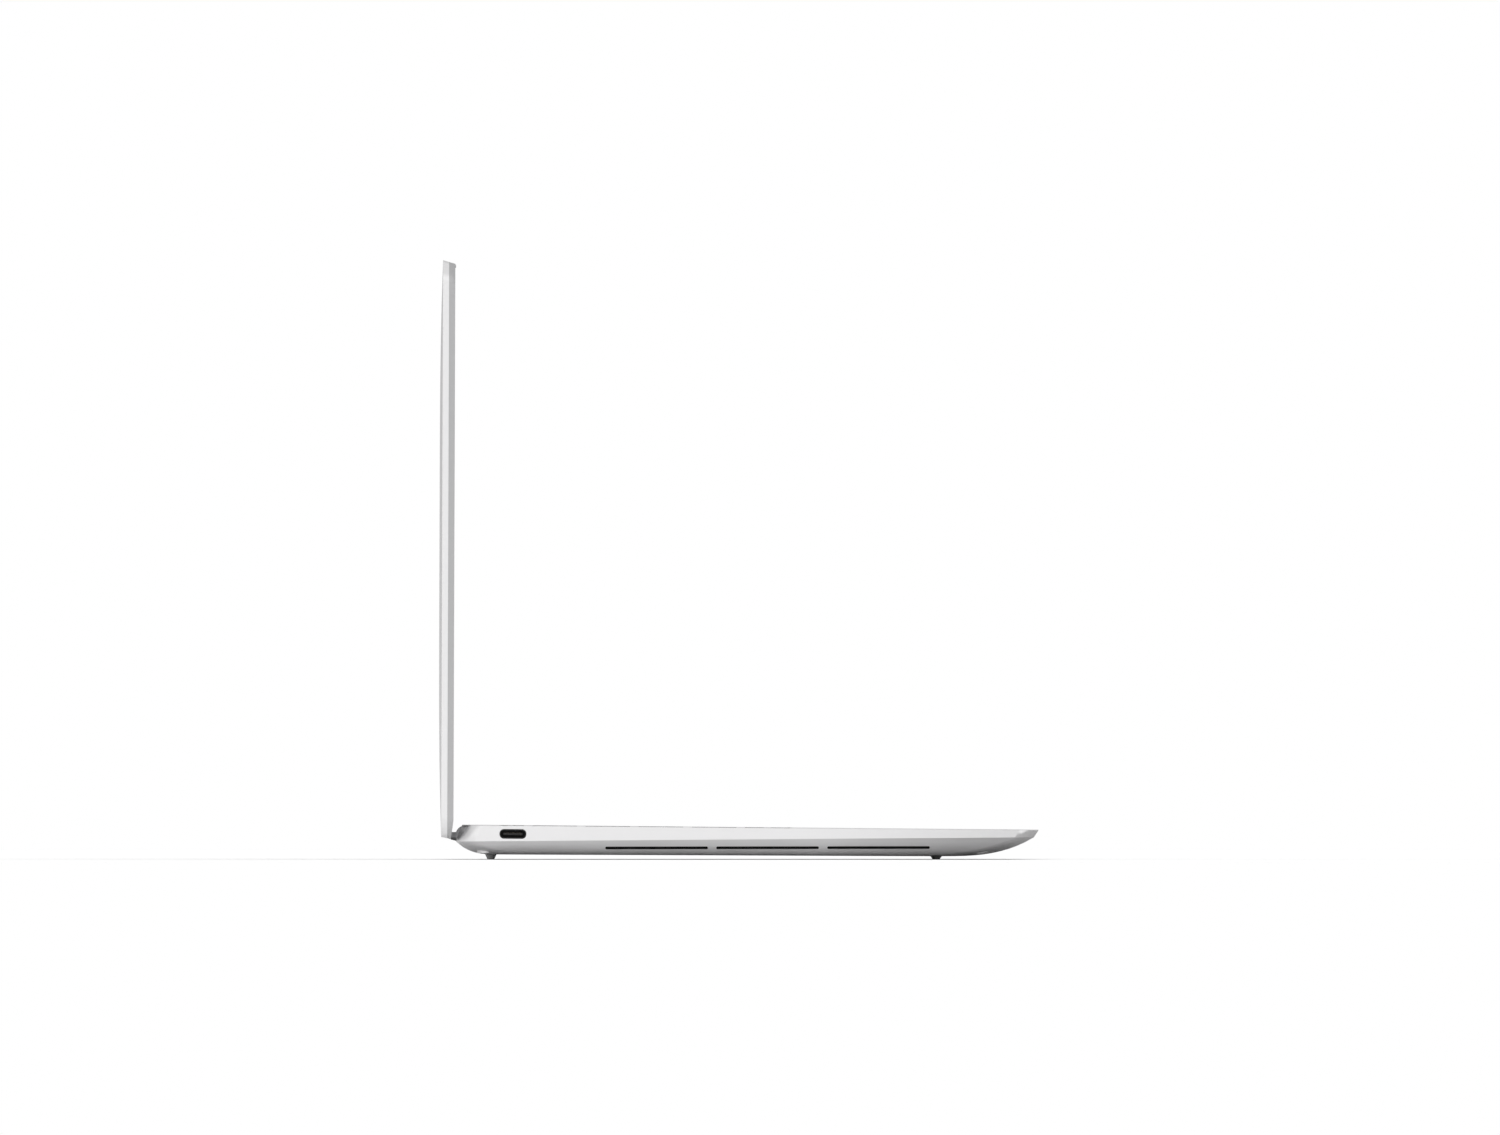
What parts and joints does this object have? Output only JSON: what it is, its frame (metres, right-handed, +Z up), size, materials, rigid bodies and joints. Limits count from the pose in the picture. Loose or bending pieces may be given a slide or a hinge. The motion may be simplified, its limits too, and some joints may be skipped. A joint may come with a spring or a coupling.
{
  "type": "laptop computer",
  "caption": "Thin clamshell laptop with a tapered silver base, keyboard, touchpad and a hinged display lid open at a right angle.",
  "frame": {"origin": "on the floor under the middle of the open laptop's box", "axes": "+X to the user's right, +Y to the rear, +Z up"},
  "size_m": [0.2954, 0.2053, 0.2051],
  "materials": {
    "aluminium_shell": "bead-blasted silver",
    "aluminium_frame": "matt grey",
    "hinge_bar": "matt dark grey",
    "steel": "plain",
    "rubber": "matt",
    "caps": "matt silver",
    "lattice": "matt silver",
    "pad_glass": "satin",
    "black_bezel": "gloss black",
    "screen_glass": "dark gloss",
    "board": "satin",
    "chip": "satin",
    "copper": "plain",
    "black_plastic": "matt",
    "cell": "satin",
    "cable": "satin"
  },
  "bodies": {
    "base": {"top_case": "aluminium_shell", "base_cover": "aluminium_shell", "base_cover_screws": "steel", "rear_foot": "rubber", "front_foot": "rubber", "keyboard_lattice": "lattice", "keyboard_backplate": "steel", "touchpad_bracket": "steel", "battery_pack": "cell", "mainboard": "board", "side_board": "board", "board_chips": "chip", "heat_pipe": "copper", "fin_stack": "aluminium_frame", "fan_housing": "black_plastic", "left_speaker": "black_plastic", "right_speaker": "black_plastic", "left_socket": "steel", "right_socket": "steel", "left_hinge_bracket": "steel", "right_hinge_bracket": "steel", "hinge_screws": "steel"},
    "lid": {"left_hinge_leaf": "steel", "right_hinge_leaf": "steel", "left_hinge_pin": "steel", "right_hinge_pin": "steel", "hinge_cover": "hinge_bar", "lid_back_cover": "aluminium_shell", "display_frame": "aluminium_frame", "display_bezel": "black_bezel", "display_panel": "screen_glass", "camera_module": "chip", "lid_bumper": "rubber", "display_cable": "cable"},
    "fan": {"fan_rotor": "black_plastic"},
    "touchpad": {"touchpad_plate": "pad_glass"},
    "function_keys_cap": {"function_keys": "caps"},
    "power_button_cap": {"power_button": "caps"},
    "number_keys_cap": {"number_keys": "caps"},
    "backspace_key_cap": {"backspace_key": "caps"},
    "tab_key_cap": {"tab_key": "caps"},
    "upper_letter_keys_cap": {"upper_letter_keys": "caps"},
    "caps_lock_key_cap": {"caps_lock_key": "caps"},
    "home_letter_keys_cap": {"home_letter_keys": "caps"},
    "enter_key_cap": {"enter_key": "caps"},
    "left_shift_key_cap": {"left_shift_key": "caps"},
    "lower_letter_keys_cap": {"lower_letter_keys": "caps"},
    "right_shift_key_cap": {"right_shift_key": "caps"},
    "left_control_key_cap": {"left_control_key": "caps"},
    "function_lock_key_cap": {"function_lock_key": "caps"},
    "left_system_key_cap": {"left_system_key": "caps"},
    "left_option_key_cap": {"left_option_key": "caps"},
    "space_bar_cap": {"space_bar": "caps"},
    "right_option_key_cap": {"right_option_key": "caps"},
    "right_control_key_cap": {"right_control_key": "caps"},
    "page_keys_cap": {"page_keys": "caps"},
    "up_arrow_key_cap": {"up_arrow_key": "caps"},
    "left_arrow_key_cap": {"left_arrow_key": "caps"},
    "down_arrow_key_cap": {"down_arrow_key": "caps"},
    "right_arrow_key_cap": {"right_arrow_key": "caps"}
  },
  "joints": [
    {"name": "display_hinge", "type": "hinge", "parent": "base", "child": "lid", "pos_m": [0, 0.09379, 0.00825], "axis": [-1, 0, 0], "range_deg": [-90.3, 39.7]},
    {"name": "fan_spin", "type": "hinge", "parent": "base", "child": "fan", "pos_m": [0.076, 0.04877, 0.00555], "axis": [0, -0.0087, 1], "continuous": true},
    {"name": "touchpad_click", "type": "hinge", "parent": "base", "child": "touchpad", "pos_m": [0, -0.02587, 0.01015], "axis": [1, 0, 0], "range_deg": [0, 0.26], "stiffness_Nm_per_rad": 6},
    {"name": "function_keys_press", "type": "slide", "parent": "base", "child": "function_keys_cap", "axis": [0, 0.0087, -1], "range_m": [0, 0.001], "stiffness_N_per_m": 600},
    {"name": "power_button_press", "type": "slide", "parent": "base", "child": "power_button_cap", "axis": [0, 0.0087, -1], "range_m": [0, 0.0005], "stiffness_N_per_m": 1200},
    {"name": "number_keys_press", "type": "slide", "parent": "base", "child": "number_keys_cap", "axis": [0, 0.0087, -1], "range_m": [0, 0.001], "stiffness_N_per_m": 600},
    {"name": "backspace_key_press", "type": "slide", "parent": "base", "child": "backspace_key_cap", "axis": [0, 0.0087, -1], "range_m": [0, 0.001], "stiffness_N_per_m": 600},
    {"name": "tab_key_press", "type": "slide", "parent": "base", "child": "tab_key_cap", "axis": [0, 0.0087, -1], "range_m": [0, 0.001], "stiffness_N_per_m": 600},
    {"name": "upper_letter_keys_press", "type": "slide", "parent": "base", "child": "upper_letter_keys_cap", "axis": [0, 0.0087, -1], "range_m": [0, 0.001], "stiffness_N_per_m": 600},
    {"name": "caps_lock_key_press", "type": "slide", "parent": "base", "child": "caps_lock_key_cap", "axis": [0, 0.0087, -1], "range_m": [0, 0.001], "stiffness_N_per_m": 600},
    {"name": "home_letter_keys_press", "type": "slide", "parent": "base", "child": "home_letter_keys_cap", "axis": [0, 0.0087, -1], "range_m": [0, 0.001], "stiffness_N_per_m": 600},
    {"name": "enter_key_press", "type": "slide", "parent": "base", "child": "enter_key_cap", "axis": [0, 0.0087, -1], "range_m": [0, 0.001], "stiffness_N_per_m": 600},
    {"name": "left_shift_key_press", "type": "slide", "parent": "base", "child": "left_shift_key_cap", "axis": [0, 0.0087, -1], "range_m": [0, 0.001], "stiffness_N_per_m": 600},
    {"name": "lower_letter_keys_press", "type": "slide", "parent": "base", "child": "lower_letter_keys_cap", "axis": [0, 0.0087, -1], "range_m": [0, 0.001], "stiffness_N_per_m": 600},
    {"name": "right_shift_key_press", "type": "slide", "parent": "base", "child": "right_shift_key_cap", "axis": [0, 0.0087, -1], "range_m": [0, 0.001], "stiffness_N_per_m": 600},
    {"name": "left_control_key_press", "type": "slide", "parent": "base", "child": "left_control_key_cap", "axis": [0, 0.0087, -1], "range_m": [0, 0.001], "stiffness_N_per_m": 600},
    {"name": "function_lock_key_press", "type": "slide", "parent": "base", "child": "function_lock_key_cap", "axis": [0, 0.0087, -1], "range_m": [0, 0.001], "stiffness_N_per_m": 600},
    {"name": "left_system_key_press", "type": "slide", "parent": "base", "child": "left_system_key_cap", "axis": [0, 0.0087, -1], "range_m": [0, 0.001], "stiffness_N_per_m": 600},
    {"name": "left_option_key_press", "type": "slide", "parent": "base", "child": "left_option_key_cap", "axis": [0, 0.0087, -1], "range_m": [0, 0.001], "stiffness_N_per_m": 600},
    {"name": "space_bar_press", "type": "slide", "parent": "base", "child": "space_bar_cap", "axis": [0, 0.0087, -1], "range_m": [0, 0.001], "stiffness_N_per_m": 600},
    {"name": "right_option_key_press", "type": "slide", "parent": "base", "child": "right_option_key_cap", "axis": [0, 0.0087, -1], "range_m": [0, 0.001], "stiffness_N_per_m": 600},
    {"name": "right_control_key_press", "type": "slide", "parent": "base", "child": "right_control_key_cap", "axis": [0, 0.0087, -1], "range_m": [0, 0.001], "stiffness_N_per_m": 600},
    {"name": "page_keys_press", "type": "slide", "parent": "base", "child": "page_keys_cap", "axis": [0, 0.0087, -1], "range_m": [0, 0.001], "stiffness_N_per_m": 600},
    {"name": "up_arrow_key_press", "type": "slide", "parent": "base", "child": "up_arrow_key_cap", "axis": [0, 0.0087, -1], "range_m": [0, 0.001], "stiffness_N_per_m": 600},
    {"name": "left_arrow_key_press", "type": "slide", "parent": "base", "child": "left_arrow_key_cap", "axis": [0, 0.0087, -1], "range_m": [0, 0.001], "stiffness_N_per_m": 600},
    {"name": "down_arrow_key_press", "type": "slide", "parent": "base", "child": "down_arrow_key_cap", "axis": [0, 0.0087, -1], "range_m": [0, 0.001], "stiffness_N_per_m": 600},
    {"name": "right_arrow_key_press", "type": "slide", "parent": "base", "child": "right_arrow_key_cap", "axis": [0, 0.0087, -1], "range_m": [0, 0.001], "stiffness_N_per_m": 600}
  ]
}
